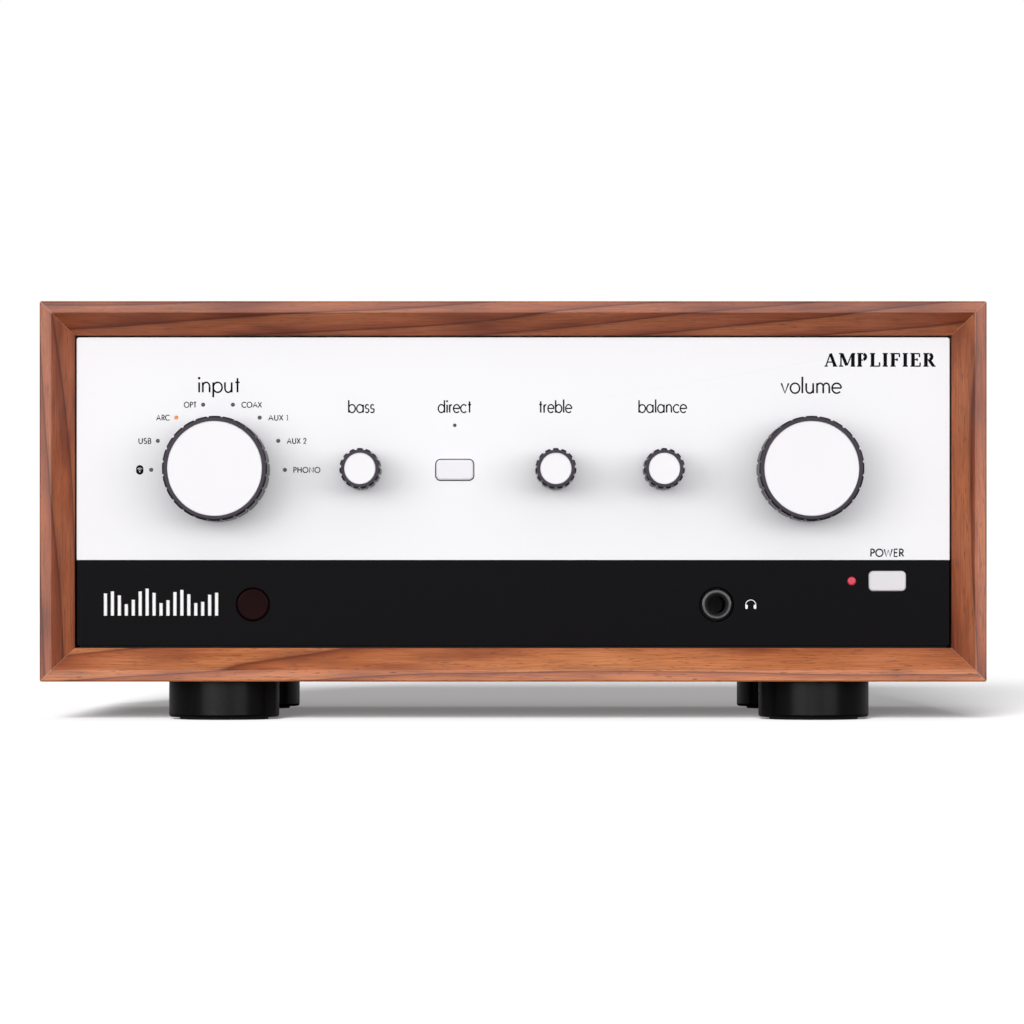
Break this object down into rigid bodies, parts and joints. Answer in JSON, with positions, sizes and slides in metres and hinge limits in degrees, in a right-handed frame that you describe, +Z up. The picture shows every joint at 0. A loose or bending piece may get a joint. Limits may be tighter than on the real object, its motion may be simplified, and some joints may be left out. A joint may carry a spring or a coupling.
{
  "type": "integrated amplifier",
  "caption": "Stereo integrated amplifier in a mitred walnut sleeve: two-tone face, fluted knobs, push buttons, headphone socket, turned feet and rear connectors",
  "frame": {"origin": "middle of the whole object's box, on the surface it stands on", "axes": "+X to the right of someone facing the front, +Y to the back, +Z up; the face looks along -Y"},
  "size_m": [0.326, 0.2744, 0.1445],
  "materials": {
    "walnut": "oiled American walnut veneer, satin, straight grain along each board",
    "black_foot": "moulded ABS, dark, semi-gloss",
    "rubber": "nitrile rubber pad, matte",
    "zinc_steel": "zinc-plated steel",
    "white_face": "aluminium, fine-textured satin white paint",
    "black_face": "aluminium, satin black paint",
    "galvanised_sheet": "galvanised steel sheet",
    "black_sheet": "steel sheet, fine-textured black powder coat",
    "charcoal_grip": "turned and fluted aluminium, charcoal anodised, satin",
    "white_cap": "satin white paint",
    "grey_button": "moulded ABS, pale grey, satin",
    "bright_steel": "turned steel",
    "control_case": "moulded phenolic and ABS cases",
    "dark_light": "smoked acrylic light pipe, unlit",
    "amber_light": "amber light pipe, lit",
    "red_light": "red lens, lit",
    "red_window": "infrared-pass acrylic, very dark red",
    "black_plastic": "moulded black polyamide",
    "dark_ring": "black nickel plating",
    "circuit_board": "glass-epoxy board, green solder mask",
    "transformer_tape": "polyester winding tape",
    "black_anodised": "extruded aluminium, black anodised",
    "transistor_case": "moulded epoxy package",
    "capacitor_sleeve": "shrunk vinyl sleeve",
    "gold_plating": "gold-plated brass",
    "red_plastic": "moulded red polycarbonate"
  },
  "bodies": {
    "chassis": {"amplifier_boards": "circuit_board", "cabinet_bottom": "walnut", "cabinet_left_side": "walnut", "cabinet_right_side": "walnut", "cabinet_top": "walnut", "chassis_lid": "black_sheet", "chassis_tray": "galvanised_sheet", "control_board": "circuit_board", "feet": "black_foot", "foot_pads": "rubber", "front_subpanel": "galvanised_sheet", "headphone_jack": "black_plastic", "headphone_ring": "dark_ring", "heat_sink": "black_anodised", "input_encoder": "control_case", "lit_source_light": "amber_light", "lower_faceplate": "black_face", "mains_inlet": "black_plastic", "output_transistors": "transistor_case", "power_light": "red_light", "push_switches": "control_case", "rear_panel": "black_sheet", "remote_window": "red_window", "reservoir_capacitors": "capacitor_sleeve", "screws_and_nuts": "zinc_steel", "socket_metalwork": "gold_plating", "socket_mouldings": "black_plastic", "source_lights": "dark_light", "speaker_studs": "gold_plating", "tone_potentiometers": "control_case", "transformer": "transformer_tape", "transformer_clamp": "zinc_steel", "upper_faceplate": "white_face", "volume_potentiometer": "control_case"},
    "input_control": {"input_knob": "charcoal_grip", "input_knob_cap": "white_cap", "input_spindle": "bright_steel"},
    "volume_control": {"volume_knob": "charcoal_grip", "volume_knob_cap": "white_cap", "volume_spindle": "bright_steel"},
    "bass_control": {"bass_knob": "charcoal_grip", "bass_knob_cap": "white_cap", "bass_spindle": "bright_steel"},
    "treble_control": {"treble_knob": "charcoal_grip", "treble_knob_cap": "white_cap", "treble_spindle": "bright_steel"},
    "balance_control": {"balance_knob": "charcoal_grip", "balance_knob_cap": "white_cap", "balance_spindle": "bright_steel"},
    "direct_switch": {"direct_button": "white_cap"},
    "power_switch": {"power_button": "grey_button"},
    "mains_switch": {"mains_rocker": "black_plastic"},
    "right_negative_clamp": {"right_negative_washer": "gold_plating"},
    "right_negative_nut": {"right_negative_cap": "black_plastic"},
    "right_positive_clamp": {"right_positive_washer": "gold_plating"},
    "right_positive_nut": {"right_positive_cap": "red_plastic"},
    "left_negative_clamp": {"left_negative_washer": "gold_plating"},
    "left_negative_nut": {"left_negative_cap": "black_plastic"},
    "left_positive_clamp": {"left_positive_washer": "gold_plating"},
    "left_positive_nut": {"left_positive_cap": "red_plastic"}
  },
  "joints": [
    {"name": "input_turn", "type": "hinge", "parent": "chassis", "child": "input_control", "pos_m": [-0.10201, -0.1148, 0.08658], "axis": [0, 1, 0], "continuous": true},
    {"name": "volume_turn", "type": "hinge", "parent": "chassis", "child": "volume_control", "pos_m": [0.10201, -0.1148, 0.08658], "axis": [0, 1, 0], "range_deg": [-150, 150]},
    {"name": "bass_turn", "type": "hinge", "parent": "chassis", "child": "bass_control", "pos_m": [-0.05239, -0.1148, 0.08658], "axis": [0, 1, 0], "range_deg": [-150, 150]},
    {"name": "treble_turn", "type": "hinge", "parent": "chassis", "child": "treble_control", "pos_m": [0.01461, -0.1148, 0.08658], "axis": [0, 1, 0], "range_deg": [-150, 150]},
    {"name": "balance_turn", "type": "hinge", "parent": "chassis", "child": "balance_control", "pos_m": [0.0517, -0.1148, 0.08658], "axis": [0, 1, 0], "range_deg": [-150, 150]},
    {"name": "direct_press", "type": "slide", "parent": "chassis", "child": "direct_switch", "axis": [0, 1, 0], "range_m": [0, 0.0012], "stiffness_N_per_m": 1200, "springref_m": -0.0008},
    {"name": "power_press", "type": "slide", "parent": "chassis", "child": "power_switch", "axis": [0, 1, 0], "range_m": [0, 0.0012], "stiffness_N_per_m": 1200, "springref_m": -0.0008},
    {"name": "mains_rock", "type": "hinge", "parent": "chassis", "child": "mains_switch", "pos_m": [-0.125, 0.1124, 0.092], "axis": [1, 0, 0], "range_deg": [-16, 0]},
    {"name": "right_negative_back_off", "type": "slide", "parent": "chassis", "child": "right_negative_clamp", "axis": [0, 1, 0], "range_m": [0, 0.004]},
    {"name": "right_negative_unscrew", "type": "hinge", "parent": "right_negative_clamp", "child": "right_negative_nut", "pos_m": [-0.064, 0.1132, 0.059], "axis": [0, 1, 0], "range_deg": [0, 1440]},
    {"name": "right_positive_back_off", "type": "slide", "parent": "chassis", "child": "right_positive_clamp", "axis": [0, 1, 0], "range_m": [0, 0.004]},
    {"name": "right_positive_unscrew", "type": "hinge", "parent": "right_positive_clamp", "child": "right_positive_nut", "pos_m": [-0.04495, 0.1132, 0.059], "axis": [0, 1, 0], "range_deg": [0, 1440]},
    {"name": "left_negative_back_off", "type": "slide", "parent": "chassis", "child": "left_negative_clamp", "axis": [0, 1, 0], "range_m": [0, 0.004]},
    {"name": "left_negative_unscrew", "type": "hinge", "parent": "left_negative_clamp", "child": "left_negative_nut", "pos_m": [-0.064, 0.1132, 0.091], "axis": [0, 1, 0], "range_deg": [0, 1440]},
    {"name": "left_positive_back_off", "type": "slide", "parent": "chassis", "child": "left_positive_clamp", "axis": [0, 1, 0], "range_m": [0, 0.004]},
    {"name": "left_positive_unscrew", "type": "hinge", "parent": "left_positive_clamp", "child": "left_positive_nut", "pos_m": [-0.04495, 0.1132, 0.091], "axis": [0, 1, 0], "range_deg": [0, 1440]}
  ],
  "couplings": [
    {"joint": "right_negative_unscrew", "follows": "right_negative_back_off", "rad_per_m": 6283.2},
    {"joint": "right_positive_unscrew", "follows": "right_positive_back_off", "rad_per_m": 6283.2},
    {"joint": "left_negative_unscrew", "follows": "left_negative_back_off", "rad_per_m": 6283.2},
    {"joint": "left_positive_unscrew", "follows": "left_positive_back_off", "rad_per_m": 6283.2}
  ]
}
